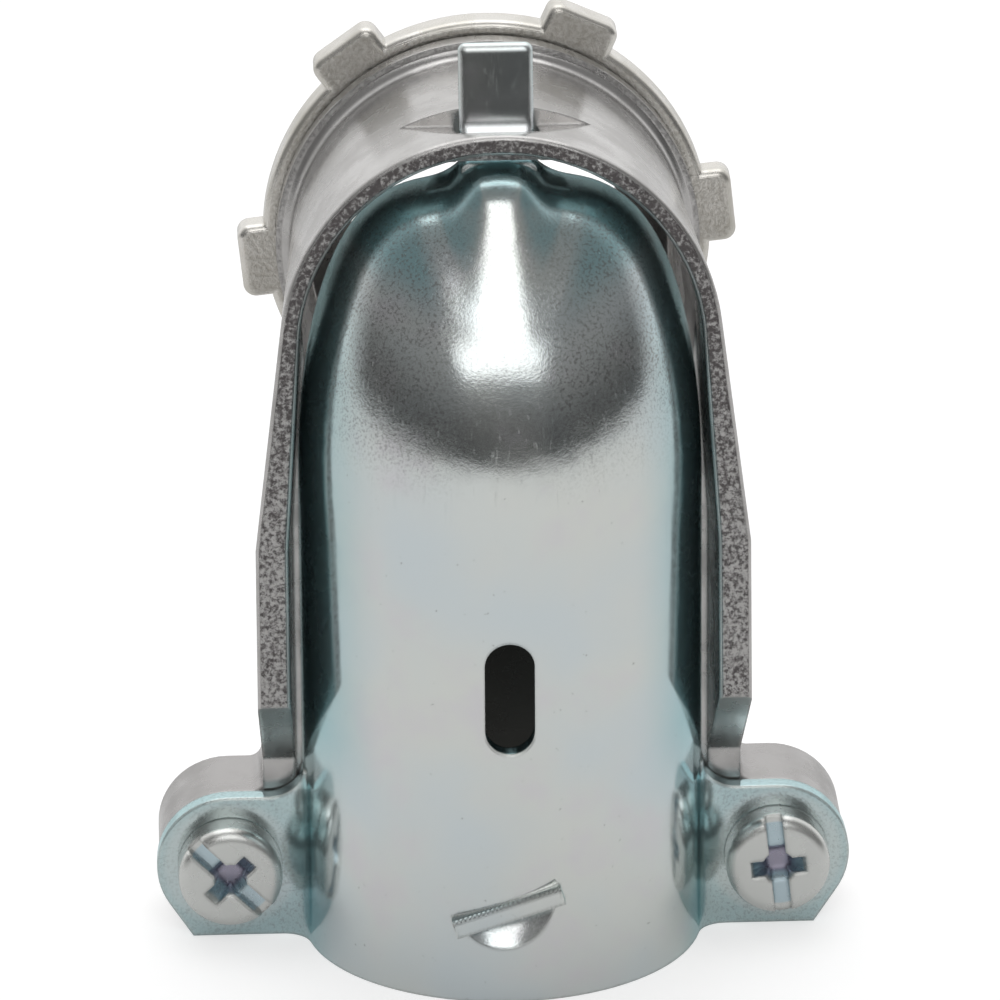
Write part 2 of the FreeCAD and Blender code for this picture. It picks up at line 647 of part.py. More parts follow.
def nut_lug(index):
    """One driving lug, as a block that reaches from inside the ring to the lug radius."""
    half = NUT_LUG_W / 2
    lug = box(-half, half, NUT_FRONT_Y, NUT_FRONT_Y + NUT_T, NUT_HUB_R, NUT_LUG_R)
    corners = [e for e in lug.Edges if all(v.Point.z > NUT_RING_R for v in e.Vertexes)]
    corners = [e for e in corners if abs(e.tangentAt(e.FirstParameter).y) > 0.5]
    lug = lug.makeFillet(NUT_CORNER_R, corners)
    lug = lug.translate(Vector(0, 0, THROAT_Z))
    return lug.rotate(Vector(0, 0, THROAT_Z), BACK, NUT_TURN + 360 * index / NUT_LUGS)


def make_locknut():
    bore_r = NECK_ROOT_R + NUT_FIT
    back_y = NUT_FRONT_Y + NUT_T
    outline = [
        (NUT_FRONT_Y, bore_r),
        (NUT_FRONT_Y, NUT_RING_R),
        (back_y, NUT_RING_R),
        (back_y, NUT_HUB_R + NUT_HUB_H),
        (back_y + NUT_HUB_H, NUT_HUB_R),
        (back_y + NUT_HUB_H, bore_r),
    ]
    points = [Vector(0, y, THROAT_Z + r) for y, r in outline]
    ring = turned([line(a, b) for a, b in zip(points, points[1:] + points[:1])])
    nut = ring.fuse([nut_lug(i) for i in range(NUT_LUGS)]).removeSplitter()
    rims = [e for e in nut.Edges if on_nut_rim(e)]
    return nut.makeFillet(NUT_EDGE_R, rims)


def on_nut_rim(edge):
    """Whether an edge is part of the outer outline of the nut's front or back face."""
    ends = [edge.valueAt(p) for p in (edge.FirstParameter, edge.LastParameter)]
    far = all(math.hypot(p.x, p.z - THROAT_Z) > NUT_RING_R - NUT_EDGE_R for p in ends)
    return far and abs(ends[0].y - ends[1].y) < EDGE_TOLERANCE


def save(shape, name):
    shape.exportStep("parts/" + name + ".step")


os.makedirs("parts", exist_ok=True)
save(make_body(), "body_casting")
save(make_strap(), "clamp_strap")
save(make_screw(-1, LEFT_DRIVE_TURN), "left_clamp_screw")
save(make_screw(1, RIGHT_DRIVE_TURN), "right_clamp_screw")
save(make_locknut(), "locknut")
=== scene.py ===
"""Looks of an angled squeeze connector for flexible metal conduit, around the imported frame."""

import math

import bmesh
import bpy
from mathutils import Matrix, Vector


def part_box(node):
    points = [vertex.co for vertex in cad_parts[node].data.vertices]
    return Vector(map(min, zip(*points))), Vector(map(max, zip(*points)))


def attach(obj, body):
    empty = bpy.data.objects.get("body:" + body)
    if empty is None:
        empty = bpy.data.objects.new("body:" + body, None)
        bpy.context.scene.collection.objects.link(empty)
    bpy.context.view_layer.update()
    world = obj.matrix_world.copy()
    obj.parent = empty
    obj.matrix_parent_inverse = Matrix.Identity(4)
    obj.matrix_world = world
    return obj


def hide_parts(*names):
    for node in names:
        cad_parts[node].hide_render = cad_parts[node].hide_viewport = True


MM = 0.001
INCH = 25.4 * MM
FULL_TURN = 2 * math.pi

# Camera, read from the photograph, with angles in degrees
CAMERA_AZIMUTH = -2.4
CAMERA_ELEVATION = 21.4
CAMERA_ROLL = 0.42
CAMERA_DISTANCE = 700 * MM
CAMERA_LENS = 332.3
CAMERA_SENSOR = 36.0
CAMERA_NEAR = 0.01
CAMERA_FAR = 10.0
CAMERA_TARGET = Vector((0, 0, 34.8 * MM))

# Lamps: name, azimuth and elevation in degrees, distance, width and height in metres, and radiance
SOFTBOXES = (
    ("front_softbox_foot", 0, 28.5, 0.8, 0.62, 0.16, 1.6),
    ("front_softbox_middle", 0, 40, 0.8, 0.46, 0.16, 1.6),
    ("front_softbox_head", 0, 52, 0.8, 0.4, 0.2, 1.6),
    ("top_softbox", 180, 75, 0.9, 0.8, 0.5, 1.2),
    ("back_softbox", 180, 45, 0.9, 0.7, 0.6, 0.55),
)

# Threads and screws
SCREWS = (("left_clamp_screw", "left_screw"), ("right_clamp_screw", "right_screw"))   # node and body
SCREW_R = 2.05 * MM
SCREW_PITCH = INCH / 32
SCREW_THREAD_DEPTH = 0.45 * MM
SCREW_PLAIN = 0.8 * MM       # without thread under the head; the thread then grows over as much again
SCREW_TIP_CHAMFER = 0.6 * MM
SCREW_ROWS = 12              # of faces per pitch
SCREW_COLUMNS = 48           # of faces around
SCREW_SHARP_ANGLE = 40       # degrees from which an edge of the shank stays sharp
SCREW_ROOTED = 0.3 * MM      # how far the shank starts inside the head
HEAD_HEIGHT = 2.8 * MM
THREAD_ROOT_R = 12.3 * MM
THREAD_CREST_R = 13.2 * MM
THREAD_PITCH = INCH / 14
THREAD_ROOT_SHARE = 0.82     # of a pitch that the ridge covers at its root
THREAD_CREST_SHARE = 0.22
THREAD_STEPS = 72            # per turn
THREAD_CORNERS = 4           # of the ridge's section
THREAD_NUT_GAP = 0.5 * MM    # from the locknut to where the ridge starts
THREAD_END_GAP = 0.9 * MM    # from the neck's end
THREAD_FADE = 0.6            # turns over which the ridge grows and dies away
THREAD_LEAST = 0.05          # share of its height that the ridge has at its ends
THREAD_SINK = 0.05 * MM      # how far the ridge's foot lies inside the neck

# In what follows, a noise is the size of its largest blots, its detail and its roughness. A ramp is
# where it starts and where it ends, with its values there if they are not 0 and 1. Ramps named X, Y, Z
# or R run over a place on the part, ramps named FACING over a part of the surface's normal, and ramps
# named TONES or ROUGHNESS over a noise.

# All metals
METALLIC = 0.93              # passivated and cast skins are not quite bare metal
BEVEL_SAMPLES = 4
EDGE_TURN = (0.98, 0.85)     # agreement of the rounded normal with the true one

# Cast zinc of the casting and the locknut
CASTING_SMOOTH = (0.54, 0.53, 0.52, 1)
CASTING_WARM = (0.45, 0.44, 0.43, 1)
CASTING_DARK = (0.12, 0.11, 0.11, 1)
NUT_SMOOTH = (0.72, 0.70, 0.66, 1)
NUT_WARM = (0.58, 0.56, 0.51, 1)
NUT_DARK = (0.42, 0.39, 0.34, 1)
# painted shade: near black inside the elbow
INSIDE_SHADE_COLOUR = (0.07, 0.07, 0.065, 1)
CAST_CLOUDS = (4 * MM, 4.0, 0.6)
CAST_GRAIN = (0.2 * MM, 2.0, 0.6)
CAST_GRIT = (0.35 * MM, 3.0, 0.7)
CAST_SOFT_EDGE = 0.35 * MM
CAST_GRAIN_HEIGHT = 0.004 * MM
CAST_PIT_DEPTH = 0.14 * MM
CAST_WARM_TONES = (0.35, 0.7)
CAST_WORN_TONES = (0.35, 0.6)
CAST_ROUGHNESS = (0.3, 0.75, 0.2, 0.34)
GRIT_TONES = (0.35, 0.62)
GRIT_ROUGHNESS = 0.14        # added where the casting is gritty
TRIMMED_FACING = (0.9, 0.97)
ARCH_Y = (-2 * MM, -4 * MM)
ARCH_SHADE_Z = (30 * MM, 60 * MM, 0.0, 0.1)
SHOULDER_Y = (12 * MM, 14 * MM, 0.0, 0.5)
SHOULDER_Z = (30 * MM, 32 * MM)
# painted shade: where and how far the clamp ears are darkened
CAST_EAR_SHADE_X = (16 * MM, 18 * MM, 0.0, 0.35)
CAST_EAR_SHADE_Z = (14 * MM, 12 * MM)
INSIDE_R = (14.3 * MM, 14.0 * MM)
INSIDE_Z = (46 * MM, 42 * MM)

# Plated sheet of the strap
PLATE_PALE = (0.64, 0.70, 0.72, 1)
PLATE_WARM = (0.70, 0.72, 0.69, 1)
PLATE_ROSY = (0.68, 0.66, 0.70, 1)
# painted sheen: the plating's blue tint, painted teal on faces that turn away and as painted reflection
# around the ear screws
PLATE_TEAL_SHEEN = (0.37, 0.57, 0.60, 1)
PLATE_DARK = (0.26, 0.26, 0.25, 1)
PLATE_SPECULAR = (0.78, 0.93, 0.95, 1)
PLATE_CLOUDS = (6 * MM, 4.0, 0.6)
PLATE_PATCHES = (12 * MM, 2.0, 0.5)
PLATE_SPECKS = (0.22 * MM, 2.0, 0.7)
PLATE_DOTS = (0.35 * MM, 1.0, 0.5)
PLATE_LINES = (1.0, 2.0, 0.6)         # in units of a line's width and length
LINE_WIDTH = 0.25 * MM
LINE_LENGTH = 9 * MM
PLATE_SOFT_EDGE = 0.45 * MM
PLATE_WARM_TONES = (0.3, 0.7)
PLATE_ROSY_TONES = (0.5, 0.72, 0.0, 0.6)
PLATE_TEAL_SHEEN_TONES = (0.1, 0.7, 0.6, 1.0)
PLATE_WORN_TONES = (0.3, 0.6, 0.3, 1.0)
PLATE_PITTED_TONES = (0.35, 0.6, 0.5, 1.1)
PLATE_ROUGHNESS = (0.3, 0.75, 0.1, 0.19)
SCRATCH_ROUGHNESS = (0.6, 0.7, 0.0, 0.08)
STRETCH_ROUGHNESS = 0.03     # added where the sheet is stretched
SPECK_TONES = (0.48, 0.66)
DOT_TONES = (0.75, 0.79, 0.0, 0.4)
SIDEWAYS_FACING = (0.6, 0.98)
UPWARD_FACING = (0.5, 0.95)
SHOULDER_SIDE_FACING = (0.15, 0.35)
SHOULDER_TOP_FACING = (0.42, 0.6)
ABOVE_EARS_Z = (12 * MM, 20 * MM)
BELOW_TAB_Z = (64.5 * MM, 63.5 * MM)
STRAP_EAR_X = (13 * MM, 16 * MM)
STRAP_EAR_Z = (14 * MM, 11 * MM)
# painted reflection of the screw heads on the strap's ears
HEAD_REFLECTION_R = (4.6 * MM, 5.6 * MM, 0.35, 0.65)
DOME_Y = (-1 * MM, -3 * MM)
DOME_Z = (39 * MM, 47 * MM)
OFF_RIDGE_X = (2 * MM, 5 * MM, 0.2, 0.65)
TOOTH_X = (7 * MM, 6 * MM)
TOOTH_Z = (12 * MM, 11 * MM)
DISH_FACING = (0.1, 0.25)
HANDLED_Z = (30 * MM, 20 * MM)
EAR_STRETCH = 0.5            # of the ears, beside 1 on the dome
EVEN_STRETCH = 0.1           # of the rest of the sheet, for its grain
STRETCH_HEIGHT = 0.006 * MM
LINE_HEIGHT = 0.0012 * MM
LIP_DEPTH_Y = (0.55 * MM, 0.4 * MM)   # behind the strap's foremost point
RIB_WIDTH = 0.17 * MM
RIB_STEEPNESS = 0.6          # height per width

# Plated screws
SCREW_WARM = (0.65, 0.66, 0.64, 1)
SCREW_BLUE = (0.52, 0.63, 0.68, 1)
SCREW_VIOLET = (0.36, 0.34, 0.42, 1)
SCREW_CLOUDS = (2.5 * MM, 3.0, 0.6)
SCREW_GRAIN = (0.4 * MM, 2.0, 0.6)
SCREW_GRAIN_HEIGHT = 0.004 * MM
SCREW_SOFT_EDGE = 0.5 * MM
SCREW_ROUGHNESS = (0.3, 0.7, 0.18, 0.32)
RECESS_R = (3.5 * MM, 3.3 * MM)
RECESS_START_Y = (0.3 * MM, 0.5 * MM)   # behind the head's face, as the next two
RECESS_DEEP_Y = (1.4 * MM, 1.8 * MM)
RECESS_END_Y = (HEAD_HEIGHT, HEAD_HEIGHT - 0.3 * MM)

# Floor and room
WHITE = 1.0
FLOOR_RADIUS = 1.0
FLOOR_SIDES = 96
FLOOR_GAP = 0.02 * MM        # so that the part's lower faces do not lie in the floor
FLOOR_COLOUR = (0.57, 0.57, 0.57, 1)
FLOOR_GLOW_TO_CAMERA = 0.6   # makes the lit floor white
FLOOR_GLOW_TO_METAL = 0.27
ROOM_RISE = (0.02, 0.4, 0.05, 0.25)     # over the upward part of a direction
BACKDROP_SIDE = (-0.15, 0.35)           # over the backward part of a direction

# Sockets of Blender's mix node
MIX_SHARE = 0
MIX_NUMBERS = (2, 3)
MIX_NUMBER_OUT = 0
MIX_COLOURS = (6, 7)
MIX_COLOUR_OUT = 2

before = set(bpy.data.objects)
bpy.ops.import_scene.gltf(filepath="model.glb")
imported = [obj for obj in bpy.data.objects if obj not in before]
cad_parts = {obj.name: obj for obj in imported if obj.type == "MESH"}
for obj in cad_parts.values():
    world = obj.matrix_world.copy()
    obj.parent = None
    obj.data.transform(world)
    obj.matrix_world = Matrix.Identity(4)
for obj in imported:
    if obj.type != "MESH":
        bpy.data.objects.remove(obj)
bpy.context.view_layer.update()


class Graph:
    """A node tree with short ways to add and join nodes."""

    def __init__(self, tree):
        self.tree = tree
        tree.nodes.clear()

    def add(self, kind, **settings):
        made = self.tree.nodes.new(kind)
        for key, value in settings.items():
            setattr(made, key, value)
        return made

    def put(self, value, socket):
        """Sets a socket to a number or colour, or links another node's output to it."""
        if isinstance(value, bpy.types.NodeSocket):
            self.tree.links.new(value, socket)
        else:
            socket.default_value = value

    def math(self, operation, a, b=0.0):
        made = self.add("ShaderNodeMath", operation=operation)
        self.put(a, made.inputs[0])
        self.put(b, made.inputs[1])
        return made.outputs[0]

    def joined(self, operation, values):
        """One operation over several values."""
        result = values[0]
        for value in values[1:]:
            result = self.math(operation, result, value)
        return result

    def times(self, *factors):
        return self.joined("MULTIPLY", factors)

    def plus(self, *terms):
        return self.joined("ADD", terms)

    def largest(self, *values):
        return self.joined("MAXIMUM", values)

    def less(self, a, b):
        return self.math("SUBTRACT", a, b)

    def absolute(self, value):
        return self.math("ABSOLUTE", value)

    def hypot(self, a, b):
        return self.math("SQRT", self.plus(self.math("POWER", a, 2.0), self.math("POWER", b, 2.0)))

    def step(self, value, low, high, out_low=0.0, out_high=1.0):
        """Smooth change from out_low to out_high as value goes from low to high."""
        made = self.add("ShaderNodeMapRange", interpolation_type="SMOOTHSTEP")
        for socket, given in zip(made.inputs, (value, low, high, out_low, out_high)):
            self.put(given, socket)
        return made.outputs[0]

    def mix(self, share, a, b):
        """Colour from a to b."""
        made = self.add("ShaderNodeMix", data_type="RGBA")
        self.put(share, made.inputs[MIX_SHARE])
        for index, colour in zip(MIX_COLOURS, (a, b)):
            self.put(colour, made.inputs[index])
        return made.outputs[MIX_COLOUR_OUT]

    def between(self, share, a, b):
        """Number from a to b."""
        made = self.add("ShaderNodeMix", data_type="FLOAT")
        self.put(share, made.inputs[MIX_SHARE])
        for index, number in zip(MIX_NUMBERS, (a, b)):
            self.put(number, made.inputs[index])
        return made.outputs[MIX_NUMBER_OUT]

    def noise(self, where, size, detail, rough):
        """Noise whose largest blots are about as wide as size."""
        made = self.add("ShaderNodeTexNoise")
        self.put(where, made.inputs["Vector"])
        made.inputs["Scale"].default_value = 1 / size
        made.inputs["Detail"].default_value = detail
        made.inputs["Roughness"].default_value = rough
        return made.outputs["Fac"]

    def scaled(self, where, scale):
        made = self.add("ShaderNodeMapping")
        self.put(where, made.inputs["Vector"])
        made.inputs["Scale"].default_value = scale
        return made.outputs[0]

    def bump(self, height, distance, onto):
        """Normals of onto with a relief; distance is how high a height of 1 stands."""
        made = self.add("ShaderNodeBump")
        made.inputs["Strength"].default_value = 1.0
        made.inputs["Distance"].default_value = distance
        self.put(height, made.inputs["Height"])
        self.put(onto, made.inputs["Normal"])
        return made.outputs[0]

    def soft_edges(self, radius):
        """Normals that round sharp edges over a radius, and a mask of those edges."""
        bevel = self.add("ShaderNodeBevel", samples=BEVEL_SAMPLES)
        bevel.inputs["Radius"].default_value = radius
        flat = self.add("ShaderNodeNewGeometry")
        turn = self.add("ShaderNodeVectorMath", operation="DOT_PRODUCT")
        self.put(bevel.outputs[0], turn.inputs[0])
        self.put(flat.outputs["Normal"], turn.inputs[1])
        return bevel.outputs[0], self.step(turn.outputs["Value"], *EDGE_TURN)

    def axes(self, vector):
        made = self.add("ShaderNodeSeparateXYZ")
        self.put(vector, made.inputs[0])
        return made.outputs


class Metal(Graph):
    """The graph of a metal material, with the object's own coordinates and normals."""

    def __init__(self, name):
        self.material = bpy.data.materials.new(name)
        self.material.use_nodes = True
        super().__init__(self.material.node_tree)
        self.shader = self.add("ShaderNodeBsdfPrincipled")
        output = self.add("ShaderNodeOutputMaterial")
        self.put(self.shader.outputs[0], output.inputs[0])
        coordinates = self.add("ShaderNodeTexCoord")
        self.where = coordinates.outputs["Object"]
        self.x, self.y, self.z = self.axes(self.where)
        self.facing_x, self.facing_y, self.facing_z = self.axes(coordinates.outputs["Normal"])
        self.give("Metallic", METALLIC)

    def give(self, name, value):
        """Sets or links one of the shader's inputs."""
        self.put(value, self.shader.inputs[name])


# Cast zinc

def trimmed_faces(metal):
    """Mask of the forward faces where the flash was trimmed off: the arch, and weaker the shoulder."""
    forward = metal.step(metal.times(metal.facing_y, -1.0), *TRIMMED_FACING)
    at_arch = metal.step(metal.y, *ARCH_Y)
    at_shoulder = metal.times(metal.step(metal.y, *SHOULDER_Y), metal.step(metal.z, *SHOULDER_Z))
    return metal.times(forward, metal.largest(at_arch, at_shoulder))


def trimmed_colour(metal, grit, smooth, dark):
    """Grit in two tones, darker towards the top of the arch."""
    shade = metal.times(metal.step(metal.y, *ARCH_Y), metal.step(metal.z, *ARCH_SHADE_Z))
    return metal.mix(metal.step(metal.less(grit, shade), *GRIT_TONES), dark, smooth)


def skin_colour(metal, clouds, smooth, warm, dark):
    """Mottled skin, with painted shade darkening the clamp ears."""
    mottled = metal.mix(metal.step(clouds, *CAST_WARM_TONES), smooth, warm)
    outward = metal.step(metal.absolute(metal.x), *CAST_EAR_SHADE_X)
    painted_shade_ears = metal.times(outward, metal.step(metal.z, *CAST_EAR_SHADE_Z))
    return metal.mix(painted_shade_ears, mottled, dark)


def inside_shade_mask(metal):
    """Mask of the elbow's inside, where shade is painted."""
    from_axis = metal.hypot(metal.x, metal.y)
    return metal.times(metal.step(from_axis, *INSIDE_R), metal.step(metal.z, *INSIDE_Z))


def cast_zinc(name, smooth, warm, dark):
    """Die-cast zinc: smooth mottled skin, gritty where the flash was trimmed off, with painted shade on the
    clamp ears and inside the elbow.
    """
    metal = Metal(name)
    clouds = metal.noise(metal.where, *CAST_CLOUDS)
    grain = metal.noise(metal.where, *CAST_GRAIN)
    grit = metal.noise(metal.where, *CAST_GRIT)
    rounded, edges = metal.soft_edges(CAST_SOFT_EDGE)
    gritty = trimmed_faces(metal)
    skin = skin_colour(metal, clouds, smooth, warm, dark)
    colour = metal.mix(gritty, skin, trimmed_colour(metal, grit, smooth, dark))
    worn = metal.times(edges, metal.step(clouds, *CAST_WORN_TONES))
    colour = metal.mix(worn, colour, smooth)
    metal.give("Base Color", metal.mix(inside_shade_mask(metal), colour, INSIDE_SHADE_COLOUR))
    skin_roughness = metal.step(clouds, *CAST_ROUGHNESS)
    metal.give("Roughness", metal.plus(skin_roughness, metal.times(gritty, GRIT_ROUGHNESS)))
    fine = metal.bump(grain, CAST_GRAIN_HEIGHT, rounded)
    metal.give("Normal", metal.bump(metal.times(grit, gritty), CAST_PIT_DEPTH, fine))
    return metal.material


# Plated steel

def from_screw_axis(metal):
    """Distance from the axis of the nearer clamp screw; the two stand at equal distances left and right."""
    low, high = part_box("right_clamp_screw")
    across = metal.less(metal.absolute(metal.x), (low.x + high.x) / 2)
    return metal.hypot(across, metal.less(metal.z, (low.z + high.z) / 2))


def ear_mask(metal):
    """Mask of the strap's two ears."""
    outward = metal.step(metal.absolute(metal.x), *STRAP_EAR_X)
    return metal.times(outward, metal.step(metal.z, *STRAP_EAR_Z))


def painted_teal_sheen_share(metal, clouds, ears):
    """How teal the skin is, as painted sheen on the strap's sides, shoulders and upward faces, and as painted
    reflection around the screws on its ears, but not on its tab.
    """
    sideways = metal.absolute(metal.facing_x)
    side = metal.step(sideways, *SIDEWAYS_FACING)
    top = metal.step(metal.facing_z, *UPWARD_FACING)
    shoulder_top = metal.step(metal.facing_z, *SHOULDER_TOP_FACING)
    shoulder = metal.times(metal.step(sideways, *SHOULDER_SIDE_FACING), shoulder_top)
    sheen_turned_away = metal.times(metal.largest(shoulder, side, top), metal.step(metal.z, *ABOVE_EARS_Z))
    reflection_on_ears = metal.times(ears, metal.step(from_screw_axis(metal), *HEAD_REFLECTION_R))
    below_tab = metal.step(metal.z, *BELOW_TAB_Z)
    return metal.times(metal.plus(sheen_turned_away, reflection_on_ears), below_tab, metal.step(clouds, *PLATE_TEAL_SHEEN_TONES))


def stretched_mask(metal, ears):
    """Mask of where the press stretched the sheet: the dome, the dish under the tooth, and less the ears."""
    dome = metal.times(metal.step(metal.z, *DOME_Z), metal.step(metal.y, *DOME_Y))
    near_tooth = metal.times(metal.step(metal.z, *TOOTH_Z), metal.step(metal.absolute(metal.x), *TOOTH_X))
    dish = metal.times(near_tooth, metal.step(metal.facing_z, *DISH_FACING))
    return metal.largest(dome, dish, metal.times(ears, EAR_STRETCH))


def plate_colour(metal, clouds, specks, ears, stretched):
    """Pale plate with warm and rosy patches, painted teal sheen where it turns away, with dark specks and
    dots.
    """
    patches = metal.noise(metal.where, *PLATE_PATCHES)
    plate = metal.mix(metal.step(patches, *PLATE_WARM_TONES), PLATE_PALE, PLATE_WARM)
    plate = metal.mix(metal.step(clouds, *PLATE_ROSY_TONES), plate, PLATE_ROSY)
    plate = metal.mix(painted_teal_sheen_share(metal, clouds, ears), plate, PLATE_TEAL_SHEEN)
    off_ridge = metal.step(metal.absolute(metal.x), *OFF_RIDGE_X)
    uneven = metal.times(off_ridge, metal.step(clouds, *PLATE_PITTED_TONES))
    pitted = metal.times(metal.step(specks, *SPECK_TONES), stretched, uneven)
    dots = metal.step(metal.noise(metal.where, *PLATE_DOTS), *DOT_TONES)
    return metal.mix(metal.largest(pitted, dots), plate, PLATE_DARK)


def plate_relief(metal, lines, specks, stretched, rounded):
    """Normals with fine lines, ribs on the tooth's lip and the grain of stretched sheet."""
    lined = metal.bump(lines, LINE_HEIGHT, rounded)
    behind_front = metal.less(metal.y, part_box("clamp_strap")[0].y)
    on_lip = metal.step(behind_front, *LIP_DEPTH_Y)
    ribs = metal.times(metal.math("PINGPONG", metal.x, RIB_WIDTH), on_lip)
    ribbed = metal.bump(ribs, RIB_STEEPNESS, lined)
    grain = metal.times(specks, metal.plus(stretched, EVEN_STRETCH))
    return metal.bump(grain, STRETCH_HEIGHT, ribbed)


def plated_sheet(name):
    """Blue-passivated zinc on steel: pale and mirror-like, with its blue tint painted as a teal sheen where
    it turns away, speckled on its dome.
    """
    metal = Metal(name)
    clouds = metal.noise(metal.where, *PLATE_CLOUDS)
    specks = metal.noise(metal.where, *PLATE_SPECKS)
    line_scale = (1 / LINE_WIDTH, 1 / LINE_WIDTH, 1 / LINE_LENGTH)
    lines = metal.noise(metal.scaled(metal.where, line_scale), *PLATE_LINES)
    rounded, edges = metal.soft_edges(PLATE_SOFT_EDGE)
    ears = ear_mask(metal)
    stretched = stretched_mask(metal, ears)
    colour = plate_colour(metal, clouds, specks, ears, stretched)
    worn = metal.times(edges, metal.step(metal.z, *HANDLED_Z), metal.step(clouds, *PLATE_WORN_TONES))
    metal.give("Base Color", metal.mix(worn, colour, PLATE_WARM))
    scratched = metal.step(lines, *SCRATCH_ROUGHNESS)
    coarse = metal.times(stretched, STRETCH_ROUGHNESS)
    metal.give("Roughness", metal.plus(metal.step(clouds, *PLATE_ROUGHNESS), scratched, coarse))
    metal.give("Normal", plate_relief(metal, lines, specks, stretched, rounded))
    metal.give("Specular Tint", PLATE_SPECULAR)
    return metal.material


def plated_screw(name):
    """Zinc-plated screw: warm pale head and shank, bluish driver recess."""
    metal = Metal(name)
    clouds = metal.noise(metal.where, *SCREW_CLOUDS)
    grain = metal.noise(metal.where, *SCREW_GRAIN)
    rounded = metal.soft_edges(SCREW_SOFT_EDGE)[0]
    behind_face = metal.less(metal.y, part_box("right_clamp_screw")[0].y)
    below_face = metal.step(behind_face, *RECESS_START_Y)
    above_seat = metal.step(behind_face, *RECESS_END_Y)
    near_axis = metal.step(from_screw_axis(metal), *RECESS_R)
    in_recess = metal.times(below_face, above_seat, near_axis)
    recess = metal.mix(metal.step(behind_face, *RECESS_DEEP_Y), SCREW_BLUE, SCREW_VIOLET)
    metal.give("Base Color", metal.mix(in_recess, SCREW_WARM, recess))
    metal.give("Roughness", metal.step(clouds, *SCREW_ROUGHNESS))
    metal.give("Normal", metal.bump(grain, SCREW_GRAIN_HEIGHT, rounded))
    return metal.material


# Pieces

def new_piece(name, mesh, body):
    """An object of the part that moves with a body."""
    piece = bpy.data.objects.new(name, mesh)
    bpy.context.scene.collection.objects.link(piece)
    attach(piece, body)
    return piece


def new_mesh(name, vertices, faces):
    mesh = bpy.data.meshes.new(name)
    mesh.from_pydata(vertices, [], faces)
    mesh.validate()
    return mesh


def screw_head(node, body):
    """The frame's screw without its plain shank."""
    seat_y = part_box(node)[0].y + HEAD_HEIGHT
    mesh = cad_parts[node].data.copy()
    shell = bmesh.new()
    shell.from_mesh(mesh)
    shank = [face for face in shell.faces if face.calc_center_median().y > seat_y + SCREW_PLAIN / 2]
    bmesh.ops.delete(shell, geom=shank, context="FACES")
    shell.to_mesh(mesh)
    shell.free()
    head = new_piece(body + "_head", mesh, body)
    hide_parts(node)
    return head


def shank_radius(y, turn, seat_y, tip_y):
    """Radius of a right-hand thread at y and at a turn around its axis, plain under the head."""
    phase = y / SCREW_PITCH - turn
    wave = 0.5 - 0.5 * math.cos(FULL_TURN * phase)
    grown = min(1, max(0, (y - seat_y) / SCREW_PLAIN - 1))
    chamfered = SCREW_R - SCREW_TIP_CHAMFER + tip_y - y
    return min(SCREW_R - SCREW_THREAD_DEPTH * wave * grown, chamfered)


def shank_faces(rows):
    """Faces of a closed tube with one more ring of points than rows."""
    faces = []
    for row in range(rows):
        for column in range(SCREW_COLUMNS):
            here = row * SCREW_COLUMNS + column
            beside = row * SCREW_COLUMNS + (column + 1) % SCREW_COLUMNS
            faces.append((here, beside, beside + SCREW_COLUMNS, here + SCREW_COLUMNS))
    faces.append(tuple(reversed(range(SCREW_COLUMNS))))
    faces.append(tuple(range(rows * SCREW_COLUMNS, (rows + 1) * SCREW_COLUMNS)))
    return faces


def screw_shank(node, body):
    """A threaded shank in place of the plain one, rooted in the head."""
    low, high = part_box(node)
    axis_x, axis_z = (low.x + high.x) / 2, (low.z + high.z) / 2
    seat_y, tip_y = low.y + HEAD_HEIGHT, high.y
    start_y = seat_y - SCREW_ROOTED
    rows = round((tip_y - start_y) / SCREW_PITCH * SCREW_ROWS)
    vertices = []
    for row in range(rows + 1):
        y = start_y + (tip_y - start_y) * row / rows
        for column in range(SCREW_COLUMNS):
            turn = column / SCREW_COLUMNS
            radius = shank_radius(y, turn, seat_y, tip_y)
            angle = turn * FULL_TURN
            vertices.append((axis_x + radius * math.sin(angle), y, axis_z + radius * math.cos(angle)))
    mesh = new_mesh(body + "_shank", vertices, shank_faces(rows))
    mesh.shade_smooth()
    mesh.set_sharp_from_angle(angle=math.radians(SCREW_SHARP_ANGLE))
    return new_piece(body + "_shank", mesh, body)


def ridge_faces(count):
    """Faces of a closed ridge of count steps, whose section has THREAD_CORNERS corners."""
    faces = []
    for step in range(count):
        for corner in range(THREAD_CORNERS):
            here = THREAD_CORNERS * step + corner
            beside = THREAD_CORNERS * step + (corner + 1) % THREAD_CORNERS
            faces.append((here, beside, beside + THREAD_CORNERS, here + THREAD_CORNERS))
    faces.append(tuple(reversed(range(THREAD_CORNERS))))
    faces.append(tuple(THREAD_CORNERS * count + corner for corner in range(THREAD_CORNERS)))
    return faces


